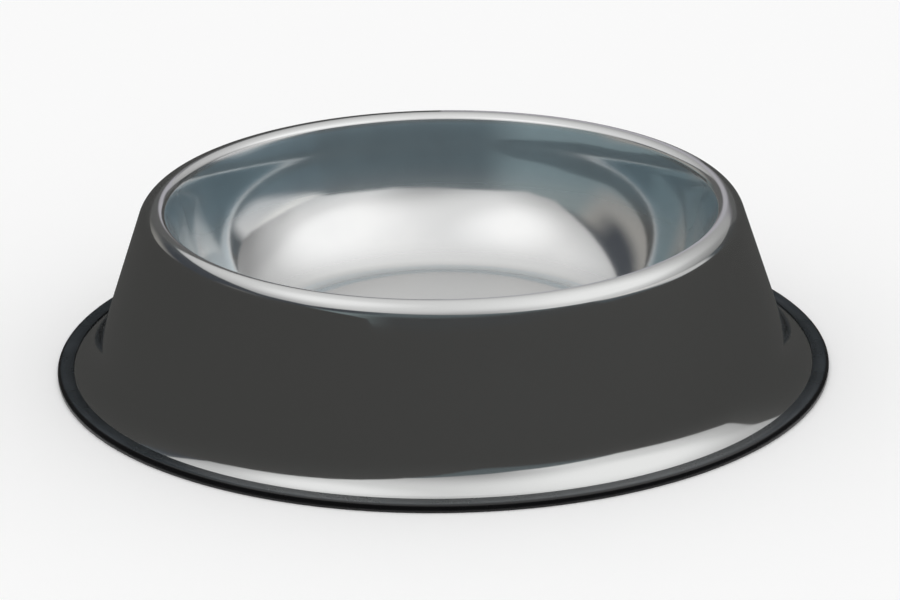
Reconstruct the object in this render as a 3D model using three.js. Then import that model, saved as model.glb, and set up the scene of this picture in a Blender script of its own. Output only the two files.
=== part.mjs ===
// Non-tip metal pet bowl, in millimetres, +Z up. The origin is on the table, under the middle of the bowl.
// One sheet of stainless steel is pressed into a rounded basin, turned over at the rim and led down again
// as a wide cone, the skirt, which flares out into a narrow flange. A rubber ring grips the flange's edge.

import * as THREE from 'three';

// Sizes of the whole bowl
const baseDiameter = 254;
const bowlHeight = 56.1;

// Steel sheet: slopes are in degrees away from upright, radii are those of its visible face
const sheetThickness = 0.6;
const skirtSlope = 18.4;
const flareRadius = 13.5;
const flangeWidth = 0.2;
const shoulderRadius = 6.6;
const rimFoldRadius = 3.3;
const leadInTopSlope = 22;
const leadInRadius = 50;
const wallTopSlope = 12.5;
const wallFootSlope = 52;
const knuckleRadius = 8;
const floorLevel = 9.7;

// Rubber ring: a U in section, with a thick foot below the flange and a thin lip above it
const ringWall = 1.5;
const ringClearance = 0.1;
const footThickness = 1.05;
const footWidth = 8.5;
const lipThickness = 0.65;
const lipEdgeThickness = 0.3;
const lipWidth = 5.3;
const footCornerRadius = 0.4;
const ringShoulderRadius = 1.2;

// Facets round the bowl, and in each rounded stretch of an outline
const facetsAround = 72;
const stepsInKnuckle = 5;
const stepsInWall = 7;
const stepsInLeadIn = 3;
const stepsInFold = 6;
const stepsInFlare = 8;
const stepsInCorner = 3;

const { degToRad, radToDeg } = THREE.MathUtils;

// An outline is a list of points whose x is the distance from the bowl's axis and whose y is the height

// Point at a distance from a centre, at an angle in degrees counted up from the outward direction
function pointOnArc(centre, radius, angle) {
  return new THREE.Vector2(
    centre.x + radius * Math.cos(degToRad(angle)),
    centre.y + radius * Math.sin(degToRad(angle)),
  );
}

function arc(centre, radius, fromAngle, toAngle, steps) {
  const points = [];
  for (let step = 0; step <= steps; step += 1) {
    points.push(pointOnArc(centre, radius, fromAngle + ((toAngle - fromAngle) * step) / steps));
  }
  return points;
}

// The flange lies in the ring's groove, so its level and its edge follow from the ring
const flangeLevel = footThickness + ringClearance + sheetThickness;
const flangeRadius = baseDiameter / 2 - ringWall - ringClearance;

// The skirt is straight between the flare at its foot and the shoulder below the rim, which bend opposite
// ways, so the distance between the two bends' centres follows from the skirt's slope
const flareCentre = new THREE.Vector2(flangeRadius - flangeWidth, flangeLevel + flareRadius);
const shoulderLevel = bowlHeight - shoulderRadius;
const skirtRise = shoulderLevel - flareCentre.y;
const skirtSpan = (flareRadius + shoulderRadius + skirtRise * Math.sin(degToRad(skirtSlope)))
  / Math.cos(degToRad(skirtSlope));
const shoulderCentre = new THREE.Vector2(flareCentre.x - skirtSpan, shoulderLevel);

// Below the rim's fold the basin's wall leans in and grows steeper, which is the lead-in, and then turns
// the other way in one wide bend down to the tighter knuckle round the floor. The wide bend's radius is
// the one that lands the knuckle on the floor's level.
const rimFoldCentre = new THREE.Vector2(shoulderCentre.x, bowlHeight - rimFoldRadius);
const leadInCentre = pointOnArc(rimFoldCentre, leadInRadius - rimFoldRadius, -leadInTopSlope);
const wallTop = pointOnArc(leadInCentre, leadInRadius, 180 - wallTopSlope);
const knuckleHeight = knuckleRadius * (1 - Math.sin(degToRad(wallFootSlope)));
const wallRadius = (wallTop.y - floorLevel - knuckleHeight)
  / (Math.sin(degToRad(wallFootSlope)) - Math.sin(degToRad(wallTopSlope)));
const wallCentre = pointOnArc(wallTop, wallRadius, 180 - wallTopSlope);
const knuckleCentre = pointOnArc(wallCentre, wallRadius - knuckleRadius, -wallFootSlope);

// One face of the sheet from the middle of the floor out to the edge of the flange. depth is 0 for the
// visible face and the sheet's thickness for the hidden one, which bends round the same centres.
function sheetFace(depth) {
  const wall = arc(wallCentre, wallRadius + depth, -wallFootSlope, -wallTopSlope, stepsInWall);
  const leadInAngle = 180 - leadInTopSlope;
  const leadIn = arc(leadInCentre, leadInRadius - depth, 180 - wallTopSlope, leadInAngle, stepsInLeadIn);
  const rimFold = arc(rimFoldCentre, rimFoldRadius - depth, leadInAngle, 90, stepsInFold);
  const shoulder = arc(shoulderCentre, shoulderRadius - depth, 90, skirtSlope, stepsInFold);
  return [
    new THREE.Vector2(0, floorLevel - depth),
    ...arc(knuckleCentre, knuckleRadius + depth, -90, -wallFootSlope, stepsInKnuckle),
    ...wall.slice(1),
    ...leadIn.slice(1),
    ...rimFold.slice(1),
    ...shoulder.slice(1),
    ...arc(flareCentre, flareRadius + depth, 180 + skirtSlope, 270, stepsInFlare),
    new THREE.Vector2(flangeRadius, flangeLevel - depth),
  ];
}

function sheetOutline() {
  return [...sheetFace(sheetThickness), ...sheetFace(0).reverse()];
}

// The ring's section. The lip's underside follows the flare of the sheet at the ring's clearance.
function ringOutline() {
  const outerRadius = baseDiameter / 2;
  const footInnerRadius = outerRadius - footWidth;
  const lipInnerRadius = outerRadius - lipWidth;
  const grooveRadius = flangeRadius + ringClearance;
  const grooveTop = flangeLevel + ringClearance;
  const ringHeight = grooveTop + lipThickness;
  const lipBend = flareRadius - ringClearance;
  const lipReach = radToDeg(Math.asin((flareCentre.x - lipInnerRadius) / lipBend));
  const lipUnderside = arc(flareCentre, lipBend, 270 - lipReach, 270, stepsInCorner);
  const footCorner = new THREE.Vector2(outerRadius - footCornerRadius, footCornerRadius);
  const shoulder = new THREE.Vector2(outerRadius - ringShoulderRadius, ringHeight - ringShoulderRadius);
  return [
    new THREE.Vector2(footInnerRadius, 0),
    ...arc(footCorner, footCornerRadius, -90, 0, stepsInCorner),
    ...arc(shoulder, ringShoulderRadius, 0, 90, stepsInCorner),
    new THREE.Vector2(lipInnerRadius, lipUnderside[0].y + lipEdgeThickness),
    ...lipUnderside,
    new THREE.Vector2(grooveRadius, grooveTop),
    new THREE.Vector2(grooveRadius, footThickness),
    new THREE.Vector2(footInnerRadius, footThickness),
    new THREE.Vector2(footInnerRadius, 0),
  ];
}

// Turns an outline round the bowl's upright axis
function turned(name, outline, material) {
  const mesh = new THREE.Mesh(new THREE.LatheGeometry(outline, facetsAround), material);
  mesh.name = name;
  mesh.rotation.x = Math.PI / 2;
  return mesh;
}

const polishedSteel = new THREE.MeshStandardMaterial({ color: 0xb9bcbc, roughness: 0.12, metalness: 1 });
const blackRubber = new THREE.MeshStandardMaterial({ color: 0x1b1d20, roughness: 0.55, metalness: 0 });

const petBowl = new THREE.Group();
petBowl.add(turned('steel_bowl', sheetOutline(), polishedSteel));
petBowl.add(turned('rubber_ring', ringOutline(), blackRubber));

export default petBowl;
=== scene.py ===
from math import atan2, ceil, cos, degrees, pi, radians, sin

import bmesh
import bpy
from mathutils import Matrix, Vector


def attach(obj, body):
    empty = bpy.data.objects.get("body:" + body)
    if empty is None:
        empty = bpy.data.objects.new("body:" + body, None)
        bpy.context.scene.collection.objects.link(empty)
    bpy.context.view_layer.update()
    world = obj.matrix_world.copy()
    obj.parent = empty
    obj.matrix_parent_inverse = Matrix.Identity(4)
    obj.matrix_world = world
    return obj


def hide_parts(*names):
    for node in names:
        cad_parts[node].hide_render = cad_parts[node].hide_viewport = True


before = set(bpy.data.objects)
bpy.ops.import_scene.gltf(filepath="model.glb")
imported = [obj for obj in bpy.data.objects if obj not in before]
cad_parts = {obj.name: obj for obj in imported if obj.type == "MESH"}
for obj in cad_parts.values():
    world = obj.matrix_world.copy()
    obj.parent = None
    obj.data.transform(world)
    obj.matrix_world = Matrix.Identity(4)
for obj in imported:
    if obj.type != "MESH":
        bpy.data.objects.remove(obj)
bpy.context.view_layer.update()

# Steel bowl. One round of stainless sheet is pressed into the basin, turned over at the rim and led down
# again as a wide cone, the skirt, which flares out into a narrow flange. Its visible side is buffed nearly
# to a mirror on a turning wheel, and its hidden side keeps the duller finish that the press leaves.
bowl_height = 0.0561
sheet_thickness = 0.0006

# Slopes are in degrees away from upright, and radii are those of the visible side
skirt_slope = 18.4
flare_radius = 0.0135
flange_width = 0.0002
flange_level = 0.00175
flange_radius = 0.1254
shoulder_radius = 0.0066
rim_fold_radius = 0.0033
lead_in_top_slope = 22
lead_in_radius = 0.05
wall_top_slope = 12.5
wall_foot_slope = 52
knuckle_radius = 0.008
floor_level = 0.0097
turned_steps = 240


def on_arc(centre, radius, angle):
    """The point of an outline at an angle, in degrees counted up from the outward direction."""
    return centre + radius * Vector((cos(radians(angle)), sin(radians(angle))))


def arc(centre, radius, start, end, step=2.5):
    """The points of an outline along a bend, about that many degrees apart."""
    count = ceil(abs(end - start) / step)
    return [on_arc(centre, radius, start + (end - start) * i / count) for i in range(count + 1)]


def line(start, end, count=8):
    """The points of an outline along a straight stretch, its ends left out."""
    return [start.lerp(end, i / count) for i in range(1, count)]


def turned(name, outline, closed=False):
    """A piece from an outline of distances from the axis and heights, turned once round the axis."""
    mesh = bmesh.new()
    rings = []
    for point in outline:
        angles = [2 * pi * i / turned_steps for i in range(turned_steps if point.x else 1)]
        rings.append([mesh.verts.new((point.x * cos(a), point.x * sin(a), point.y)) for a in angles])
    following = rings[1:] + (rings[:1] if closed else [])
    for inner, outer in zip(rings, following):
        for i in range(turned_steps):
            j = (i + 1) % turned_steps
            corners = [inner[i % len(inner)], outer[i], outer[j], inner[j % len(inner)]]
            mesh.faces.new(dict.fromkeys(corners)).smooth = True
    data = bpy.data.meshes.new(name)
    mesh.to_mesh(data)
    mesh.free()
    piece = bpy.data.objects.new(name, data)
    bpy.context.scene.collection.objects.link(piece)
    return piece


# The skirt is straight between the flare at its foot and the shoulder below the rim, which bend opposite
# ways, so the distance between the two bends' centres follows from the skirt's slope
flare_centre = Vector((flange_radius - flange_width, flange_level + flare_radius))
shoulder_level = bowl_height - shoulder_radius
skirt_rise = shoulder_level - flare_centre.y
skirt_lean = flare_radius + shoulder_radius + skirt_rise * sin(radians(skirt_slope))
skirt_span = skirt_lean / cos(radians(skirt_slope))
shoulder_centre = Vector((flare_centre.x - skirt_span, shoulder_level))
skirt_top = on_arc(shoulder_centre, shoulder_radius, skirt_slope)
skirt_foot = on_arc(flare_centre, flare_radius, 180 + skirt_slope)

# Below the rim's fold the basin's wall grows steeper, which is the lead-in, and then turns the other way in
# one wide bend. That bend's radius is the one that lands the knuckle on the floor's level.
rim_fold_centre = Vector((shoulder_centre.x, bowl_height - rim_fold_radius))
lead_in_centre = on_arc(rim_fold_centre, lead_in_radius - rim_fold_radius, -lead_in_top_slope)
wall_top = on_arc(lead_in_centre, lead_in_radius, 180 - wall_top_slope)
knuckle_height = knuckle_radius * (1 - sin(radians(wall_foot_slope)))
wall_radius = (wall_top.y - floor_level - knuckle_height) / (
    sin(radians(wall_foot_slope)) - sin(radians(wall_top_slope)))
wall_centre = on_arc(wall_top, wall_radius, 180 - wall_top_slope)
knuckle_centre = on_arc(wall_centre, wall_radius - knuckle_radius, -wall_foot_slope)
floor_middle = Vector((0, floor_level))
floor_edge = Vector((knuckle_centre.x, floor_level))

steel_bowl = turned("pressed_bowl", [
    floor_middle,
    *line(floor_middle, floor_edge),
    *arc(knuckle_centre, knuckle_radius, -90, -wall_foot_slope),
    *arc(wall_centre, wall_radius, -wall_foot_slope, -wall_top_slope, step=1)[1:],
    *arc(lead_in_centre, lead_in_radius, 180 - wall_top_slope, 180 - lead_in_top_slope, step=1)[1:],
    *arc(rim_fold_centre, rim_fold_radius, 180 - lead_in_top_slope, 90, step=5)[1:],
    *arc(shoulder_centre, shoulder_radius, 90, skirt_slope, step=4)[1:],
    *line(skirt_top, skirt_foot),
    *arc(flare_centre, flare_radius, 180 + skirt_slope, 270),
    Vector((flange_radius, flange_level)),
])

# The hidden side and the cut edge take the second of the bowl's two finishes
thickness = steel_bowl.modifiers.new("sheet_thickness", "SOLIDIFY")
thickness.thickness = sheet_thickness
thickness.offset = -1
thickness.use_even_offset = True
thickness.material_offset = 1
thickness.material_offset_rim = 1


class Socket:
    """A shader node's output. A sum or product of it and a number, or another one, adds a Math node."""

    def __init__(self, tree, link=None):
        self.tree = tree
        self.link = link

    def node(self, kind, settings=None, inputs=None, output=0):
        """Adds a node of that kind: its settings first, then the values or links of its sockets."""
        node = self.tree.nodes.new(kind)
        for name, value in (settings or {}).items():
            setattr(node, name, value)
        for name, value in (inputs or {}).items():
            if isinstance(value, Socket):
                self.tree.links.new(value.link, node.inputs[name])
            else:
                node.inputs[name].default_value = value
        return Socket(self.tree, node.outputs[output] if node.outputs else None)

    def math(self, operation, first, second):
        return self.node("ShaderNodeMath", {"operation": operation}, {0: first, 1: second})

    def __add__(self, other):
        return self.math("ADD", self, other)

    def __sub__(self, other):
        return self.math("SUBTRACT", self, other)

    def __rsub__(self, other):
        return self.math("SUBTRACT", other, self)

    def __mul__(self, other):
        return self.math("MULTIPLY", self, other)

    def __pow__(self, other):
        return self.math("POWER", self, other)

    __radd__ = __add__
    __rmul__ = __mul__

    def eased(self, low, high):
        """A value that goes smoothly from 0, where this one is low, to 1, where it is high."""
        return self.node("ShaderNodeMapRange", {"interpolation_type": "SMOOTHSTEP"},
                         {"Value": self, "From Min": low, "From Max": high})

    def band(self, low, full_from, full_to, high):
        """A value that is 1 in the middle of a band, and goes smoothly to 0 at both of its ends."""
        return self.eased(low, full_from) * (1 - self.eased(full_to, high))

    def tint(self, none, full):
        """The colour this far from one colour to another."""
        return self.node("ShaderNodeMix", {"data_type": "RGBA"}, {0: self, 6: none, 7: full}, output=2)

    def parts(self):
        """The x, y and z of a place."""
        split = self.node("ShaderNodeSeparateXYZ", None, {"Vector": self}).link.node
        return [Socket(self.tree, output) for output in split.outputs]

    def from_axis(self, x=0.0, y=0.0):
        """How far a place is from an upright axis, which is the bowl's unless another is given."""
        across, along, _ = self.parts()
        return ((across - x) * (across - x) + (along - y) * (along - y)) ** 0.5

    def noise(self, size, detail=2.0, roughness=0.5):
        """Cloudy noise over a place, in lumps of about that size in metres."""
        return self.node("ShaderNodeTexNoise", None, {
            "Vector": self, "Scale": 1 / size, "Detail": detail, "Roughness": roughness})

    def relief(self, height):
        """The surface's normal, with a height in metres laid over it."""
        return self.node("ShaderNodeBump", None, {"Distance": 1.0, "Height": height})

    def surface(self, kind, inputs):
        """Ends a material in a shader of that kind."""
        self.node("ShaderNodeOutputMaterial", None, {"Surface": self.node(kind, None, inputs)})


def new_shader(name):
    """A new material, the start of its nodes, and the place on the surface in metres."""
    material = bpy.data.materials.new(name)
    material.use_nodes = True
    material.node_tree.nodes.clear()
    start = Socket(material.node_tree)
    return material, start, start.node("ShaderNodeTexCoord", output="Object")


def turning_marks(place, spacing, length):
    """Fine lines round the axis, that far apart and each about that long, in metres."""
    x, y, z = place.parts()
    stretched = place.node("ShaderNodeCombineXYZ", None, {
        "X": place.from_axis() * (1 / spacing), "Y": z * (1 / spacing), "Z": x * (1 / length)})
    return place.node("ShaderNodeTexNoise", {"noise_dimensions": "4D"}, {
        "Vector": stretched, "W": y * (1 / length), "Scale": 1.0, "Detail": 2.0})


# Tones of the buffed side, which is a little greyer on the floor and the skirt than on the basin's wall
skirt_tone = (0.68, 0.685, 0.68, 1)
floor_tone = (0.69, 0.69, 0.685, 1)
wall_dull_tone = (0.78, 0.785, 0.785, 1)
wall_bright_tone = (0.83, 0.83, 0.825, 1)
haze_tone = (0.70, 0.70, 0.69, 1)
# Blue tone of the haze at the back of the upper wall, a painted reflection of the blue studio cards
painted_blue_reflection_tone = (0.42, 0.59, 0.68, 1)
buffed_roughness = 0.05
smear_roughness = 0.05
mark_roughness = 0.02
buffed_mark_depth = 0.000004
buffed_wave_depth = 0.00005

# The wheel leaves a haze over the mirror. It is faint all over, and strong on the knuckle and at the back of
# the upper wall, which lies between these distances from the axis. At the back the haze is also tinted blue,
# which is a painted reflection.
haze_foot, haze_full_from, haze_full_to, haze_end = 0.079, 0.086, 0.089, 0.090
haze_roughness = 0.45
haze_all_over = 0.04
haze_in_clouds = 0.06
haze_on_knuckle = 0.4
haze_on_wall = 0.08
haze_and_painted_blue_at_back = 0.19
haze_and_painted_blue_in_back_clouds = 0.32

buffed_steel, shader, place = new_shader("buffed_steel")
_, y, _ = place.parts()
radius = place.from_axis()
marks = turning_marks(place, spacing=0.0006, length=0.05)
clouds = place.noise(0.035, detail=3.0)
smears = place.noise(0.012, detail=4.0, roughness=0.6)
waves = place.noise(0.06, detail=0.0)

basin = 1 - radius.eased(rim_fold_centre.x - rim_fold_radius, rim_fold_centre.x)
beyond_floor = radius.eased(floor_edge.x - 0.001, floor_edge.x + 0.001)
knuckle = radius.band(floor_edge.x - 0.002, floor_edge.x + 0.001, floor_edge.x + 0.004, floor_edge.x + 0.011)
upper_wall = radius.band(haze_foot, haze_full_from, haze_full_to, haze_end)
back_wall = upper_wall * y.eased(-0.01, 0.05)

wall_tone = clouds.eased(0.3, 0.7).tint(wall_dull_tone, wall_bright_tone)
relief = shader.relief(marks * buffed_mark_depth + waves * buffed_wave_depth)
mirror_like = shader.node("ShaderNodeBsdfPrincipled", None, {
    "Base Color": beyond_floor.tint(floor_tone, basin.tint(skirt_tone, wall_tone)),
    "Metallic": 1.0,
    "Roughness": buffed_roughness + smears * smear_roughness + marks * mark_roughness,
    "Normal": relief,
})
# The hazy finish turns blue at the back of the wall, which is a painted reflection
hazy = shader.node("ShaderNodeBsdfPrincipled", None, {
    "Base Color": back_wall.tint(haze_tone, painted_blue_reflection_tone),
    "Metallic": 1.0,
    "Roughness": haze_roughness,
    "Normal": relief,
})
haze = haze_all_over + clouds * haze_in_clouds + knuckle * haze_on_knuckle + upper_wall * haze_on_wall
haze = haze + back_wall * (haze_and_painted_blue_at_back + clouds * haze_and_painted_blue_in_back_clouds)
shader.surface("ShaderNodeMixShader", {0: haze, 1: mirror_like, 2: hazy})

pressed_dull_tone = (0.50, 0.50, 0.495, 1)
pressed_bright_tone = (0.58, 0.58, 0.575, 1)
pressed_roughness = 0.26
pressed_cloud_roughness = 0.14
pressed_mark_depth = 0.00002

pressed_steel, shader, place = new_shader("pressed_steel")
clouds = place.noise(0.03, detail=4.0)
shader.surface("ShaderNodeBsdfPrincipled", {
    "Base Color": clouds.eased(0.3, 0.7).tint(pressed_dull_tone, pressed_bright_tone),
    "Metallic": 1.0,
    "Roughness": pressed_roughness + clouds * pressed_cloud_roughness,
    "Normal": shader.relief(turning_marks(place, spacing=0.0008, length=0.03) * pressed_mark_depth),
})

steel_bowl.data.materials.append(buffed_steel)
steel_bowl.data.materials.append(pressed_steel)
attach(steel_bowl, "root")
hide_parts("steel_bowl")

# Rubber ring. An elastic ring, moulded in black rubber and U-shaped in section, is stretched over the
# flange's edge and grips it. Its thick foot stands on the table and its thin lip lies on the flare.
ring_radius = 0.127
ring_clearance = 0.0001
foot_thickness = 0.00105
foot_width = 0.0085
lip_thickness = 0.00065
lip_edge_thickness = 0.0003
lip_width = 0.0053
foot_corner_radius = 0.0004
ring_shoulder_radius = 0.0012

groove_radius = flange_radius + ring_clearance
groove_top = flange_level + ring_clearance
lip_bend = flare_radius - ring_clearance
lip_underside = [point for point in arc(flare_centre, lip_bend, 240, 270)
                 if point.x > ring_radius - lip_width]
lip_edge = lip_underside[0]
foot_corner = Vector((ring_radius - foot_corner_radius, foot_corner_radius))
ring_shoulder = Vector((ring_radius, groove_top + lip_thickness)) - Vector((ring_shoulder_radius,) * 2)
rubber_ring = turned("elastic_ring", [
    Vector((ring_radius - foot_width, 0)),
    *arc(foot_corner, foot_corner_radius, -90, 0, step=15),
    *arc(ring_shoulder, ring_shoulder_radius, 0, 90, step=10),
    lip_edge + Vector((0, lip_edge_thickness)),
    *lip_underside,
    Vector((groove_radius, groove_top)),
    Vector((groove_radius, foot_thickness)),
    Vector((ring_radius - foot_width, foot_thickness)),
], closed=True)

# The rubber is deep black round its outside, which is painted shade, and greyer and bluish on top of the
# lip, which is a painted sheen in cloudy patches
side_painted_shade_black = (0.002, 0.002, 0.003, 1)
lip_painted_sheen_dark = (0.020, 0.026, 0.031, 1)
lip_painted_sheen_light = (0.036, 0.044, 0.052, 1)
rubber_roughness = 0.22
blotch_roughness = 0.12
grain_size = 0.0007
grain_depth = 0.00002

black_rubber, shader, place = new_shader("black_rubber")
rubber_blotches = place.noise(0.02, detail=3.0)
# The top of the lip takes the painted sheen, and the rest of the ring takes the painted shade
lip_top = 1 - place.from_axis().eased(ring_shoulder.x - 0.0002, ring_shoulder.x + 0.0005)
shader.surface("ShaderNodeBsdfPrincipled", {
    "Base Color": lip_top.tint(side_painted_shade_black, rubber_blotches.eased(0.35, 0.75).tint(lip_painted_sheen_dark, lip_painted_sheen_light)),
    "Roughness": rubber_roughness + rubber_blotches * blotch_roughness,
    "Normal": shader.relief(place.noise(grain_size, detail=3.0) * grain_depth),
})
rubber_ring.data.materials.append(black_rubber)
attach(rubber_ring, "root")
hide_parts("rubber_ring")

# Floor of the studio. A pale matt sheet runs far behind the bowl, with an even pale light all round, so
# that the bowl stands on near white and has a soft shadow where it touches.
floor_reach = 40.0
floor_dull_tone = (0.98, 0.98, 0.98, 1)
floor_bright_tone = (0.99, 0.99, 0.99, 1)


def card(name, rows, material):
    """A flat or bent sheet of the studio through rows of points."""
    mesh = bmesh.new()
    rows = [[mesh.verts.new(point) for point in row] for row in rows]
    for row, following in zip(rows, rows[1:]):
        for i in range(len(row) - 1):
            mesh.faces.new((row[i], row[i + 1], following[i + 1], following[i]))
    data = bpy.data.meshes.new(name)
    mesh.to_mesh(data)
    mesh.free()
    data.materials.append(material)
    sheet = bpy.data.objects.new(name, data)
    bpy.context.scene.collection.objects.link(sheet)
    return sheet


pale_floor, shader, place = new_shader("pale_floor")
shader.surface("ShaderNodeBsdfPrincipled", {
    "Base Color": place.noise(0.5).tint(floor_dull_tone, floor_bright_tone),
    "Roughness": 0.9,
})
card("floor", [[(-floor_reach, -floor_reach, 0), (floor_reach, -floor_reach, 0)],
               [(-floor_reach, floor_reach, 0), (floor_reach, floor_reach, 0)]], pale_floor)

world = bpy.data.worlds.new("even_light")
world.use_nodes = True
world.node_tree.nodes["Background"].inputs["Color"].default_value = (1.0, 1.0, 1.0, 1)
bpy.context.scene.world = world

# Light panel of the studio. A wide soft sheet hangs low over the bowl, tilted up to the right and the
# front, and two lamps glow through it. The metal shows it, and the camera looks past it.
panel_height = 0.26
panel_rise_right = 0.245
panel_rise_front = 0.18
panel_front_edge = [
    (-0.224, -0.085), (-0.205, -0.178), (0.038, -0.36), (0.2, -0.43), (0.6, -0.46), (1.0, -0.44)]
panel_back_edge = [
    (-0.192, 0.052), (-0.153, 0.19), (0.06, 0.37), (0.3, 0.48), (0.62, 0.50), (1.0, 0.44)]
panel_strength = 1.2
panel_level = 0.89
left_edge_loss = 0.39
front_left_loss = 0.62
back_loss = 0.5
right_end_loss = 0.2
back_right_loss = 0.22
lamp_gain = 0.26


def glowing(name, colour, strength=1.0):
    """The material of a sheet that gives off light. Its colour may be a function of the place."""
    material, shader, place = new_shader(name)
    shader.surface("ShaderNodeEmission", {
        "Color": colour(place) if callable(colour) else colour, "Strength": strength})
    return material


def reflected_only(sheet):
    """Leaves a sheet to be seen in the metal alone."""
    sheet.visible_camera = False
    sheet.visible_diffuse = False
    sheet.visible_shadow = False
    sheet.data.materials[0].cycles.emission_sampling = "NONE"


def panel_colour(place):
    """White, dimmer along the left edge, at the front left, to the back and to the right end."""
    x, y, _ = place.parts()
    left_edge = 1 - x.eased(-0.235, -0.11)
    front_left = (1 - x.eased(0.0, 0.35)) * (1 - y.eased(-0.42, -0.12))
    back = y.eased(0.03, 0.40)
    right_end = x.eased(0.35, 1.0)
    back_right = (x + 2 * y).eased(0.35, 0.85) * x.eased(0.27, 0.42)
    left_lamp = 1 - place.from_axis(-0.10, -0.045).eased(0.02, 0.11)
    right_lamp = 1 - place.from_axis(0.25, -0.06).eased(0.08, 0.28)
    level = (panel_level - left_edge_loss * left_edge) * (1 - front_left_loss * front_left)
    level = level * (1 - back_loss * back) * (1 - right_end_loss * right_end)
    level = level * (1 - back_right_loss * back_right) + lamp_gain * (left_lamp + right_lamp)
    return (level * (1 / panel_strength)).tint((0, 0, 0, 1), (1, 1, 1, 1))


def hung(edge):
    """The points of one edge of the panel, at the height that its tilt gives them."""
    return [(x, y, panel_height + panel_rise_right * x - panel_rise_front * y) for x, y in edge]


reflected_only(card("light_panel", [hung(panel_front_edge), hung(panel_back_edge)],
                    glowing("light_panel", panel_colour, panel_strength)))

# Surround of the studio. Dim card stands all round the bowl, well away from it. It is nearly black and
# turns blue higher up. Its left side is blue, with warm grey toward the back and navy above both.
card_foot = 0.001
surround_radius = 1.1
surround_height = 3.0
near_black = (0.068, 0.071, 0.072, 1)
high_blue = (0.12, 0.145, 0.155, 1)
left_blue = (0.235, 0.285, 0.292, 1)
left_warm = (0.36, 0.35, 0.33, 1)
left_navy = (0.055, 0.062, 0.074, 1)


def row_round(radius, height, start, end, count=24):
    """A row of points round the bowl between compass angles, where 0 is the front and 90 the right."""
    angles = [radians(start + (end - start) * i / count) for i in range(count + 1)]
    return [(radius * sin(a), -radius * cos(a), height) for a in angles]


def standing(radius, height, start, end, count=24):
    """The foot and the top of a sheet that stands round the bowl between two compass angles."""
    return [row_round(radius, level, start, end, count) for level in (card_foot, height)]


def surround_colour(place):
    x, y, z = place.parts()
    warm = z.eased(0.28, 0.38) * y.eased(-0.35, -0.05)
    high_at_back = z.eased(0.46, 0.64) * y.eased(-0.2, 0.3)
    navy = 1 - (1 - high_at_back) * (1 - z.eased(0.72, 0.9))
    left = navy.tint(warm.tint(left_blue, left_warm), left_navy)
    return x.eased(-0.75, -0.3).tint(left, z.eased(0.5, 0.9).tint(near_black, high_blue))


reflected_only(card("dim_surround", standing(surround_radius, surround_height, 0, 360, count=72),
                    glowing("dim_card", surround_colour)))

# Side sheet of the studio. A lit sheet stands before the surround on the right. It is dim along its foot
# and at both ends, and nearly white at the top.
side_sheet_radius = 1.05
side_sheet_height = 0.66
side_dim = (0.085, 0.10, 0.11, 1)
side_pale = (0.70, 0.70, 0.70, 1)
side_white = (1.0, 0.98, 0.95, 1)


def side_colour(place):
    _, y, z = place.parts()
    lit = (z + y * 0.5).eased(0.24, 0.37) * y.band(-0.60, -0.42, 0.36, 0.52) * z.eased(0.20, 0.32)
    return lit.tint(side_dim, z.eased(0.42, 0.54).tint(side_pale, side_white))


reflected_only(card("pale_side_wall", standing(side_sheet_radius, side_sheet_height, 58, 126),
                    glowing("side_card", side_colour)))

# Back sheet of the studio. A grey sheet stands before the surround at the back. It is pale to the right,
# apart from its low right corner.
back_sheet_radius = 1.08
back_sheet_height = 0.6
back_dim = (0.12, 0.12, 0.12, 1)
back_pale = (0.50, 0.49, 0.53, 1)


def back_colour(place):
    x, _, z = place.parts()
    low_right = x.eased(0.16, 0.30) * (1 - z.eased(0.38, 0.50))
    return (x.eased(-0.12, 0.05) * (1 - low_right)).tint(back_dim, back_pale)


reflected_only(card("pale_back_wall", standing(back_sheet_radius, back_sheet_height, 146, 202),
                    glowing("back_card", back_colour)))

# Dark wall and mat of the studio. A low wall of dark felt stands round the bowl, open at the back. A mat of
# the same felt lies under it and reaches from the ring to the surround.
dark_wall_radius = 0.22
dark_wall_height = 0.085
mat_hole_radius = 0.128
mat_level = 0.0003
felt_black = (0.068, 0.068, 0.066, 1)

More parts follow.
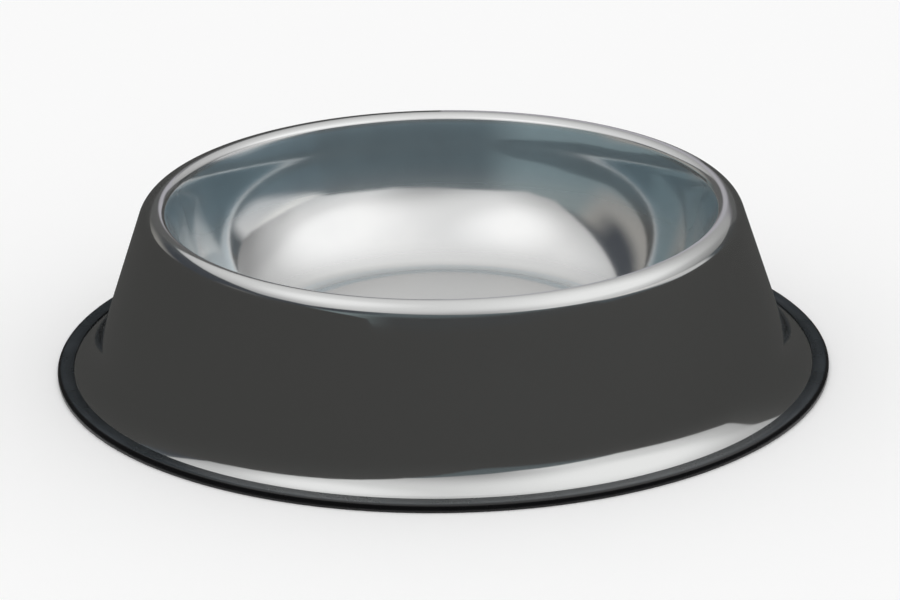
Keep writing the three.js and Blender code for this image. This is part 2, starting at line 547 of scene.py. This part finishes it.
dark_felt = glowing("dark_felt", felt_black)
dark_wall_edges = standing(dark_wall_radius, dark_wall_height, -150, 150, count=60)
mat_edges = [row_round(radius, mat_level, 0, 360, count=96) for radius in (mat_hole_radius, surround_radius)]
reflected_only(card("dark_wall", dark_wall_edges, dark_felt))
reflected_only(card("black_mat", mat_edges, dark_felt))

# Fence of the studio. A strip of the felt stands close round the ring, low in front and higher on the left,
# behind and on the right. With the wall it keeps the skirt dark, and the light on the flare ends at its top.
fence_radius = 0.14
front_height = 0.024
left_height, left_start, left_reach = 0.092, 16, 60
back_left_height, back_left_start, back_left_reach = 0.081, -75, 35
right_height, right_start, right_reach = 0.055, 57, 32


def lift(low, high, share):
    """A height that goes smoothly from the low one to the high one as the share goes from 0 to 1."""
    share = min(1, max(0, share))
    return low + (high - low) * share * share * (3 - 2 * share)


def fence_height(angle):
    """The fence's height toward a compass angle. It changes from each start on, over that reach."""
    height = lift(front_height, left_height, (left_start - angle) / left_reach)
    height = lift(height, back_left_height, (back_left_start - angle) / back_left_reach)
    return lift(height, right_height, (angle - right_start) / right_reach)


fence_foot = row_round(fence_radius, card_foot, -180, 180, count=90)
fence_top = [(x, y, fence_height(degrees(atan2(x, -y)))) for x, y, _ in fence_foot]
reflected_only(card("dark_fence", [fence_foot, fence_top], dark_felt))

# Camera. Its place, its lens and its slight roll are those at which the outlines of the ring, the skirt and
# the rim lie on the outlines in the photograph.
aim = Vector((0.002466, 0, 0.021106))
distance = 1.3921
elevation = 20.665
roll = -0.685
pixels_of_focus = 4233.4
photo_width = 900
sensor_width = 36

across = Vector((1, 0, 0))
upward = Vector((0, sin(radians(elevation)), cos(radians(elevation))))
backward = Vector((0, -cos(radians(elevation)), sin(radians(elevation))))
rolled_across = cos(radians(roll)) * across + sin(radians(roll)) * upward
rolled_upward = cos(radians(roll)) * upward - sin(radians(roll)) * across
camera = bpy.data.objects.new("camera", bpy.data.cameras.new("camera"))
camera.data.sensor_width = sensor_width
camera.data.lens = pixels_of_focus * sensor_width / photo_width
camera.matrix_world = Matrix.Translation(aim + distance * backward) @ Matrix(
    (rolled_across, rolled_upward, backward)).transposed().to_4x4()
bpy.context.scene.collection.objects.link(camera)
bpy.context.scene.camera = camera
bpy.context.scene.view_settings.view_transform = "Standard"
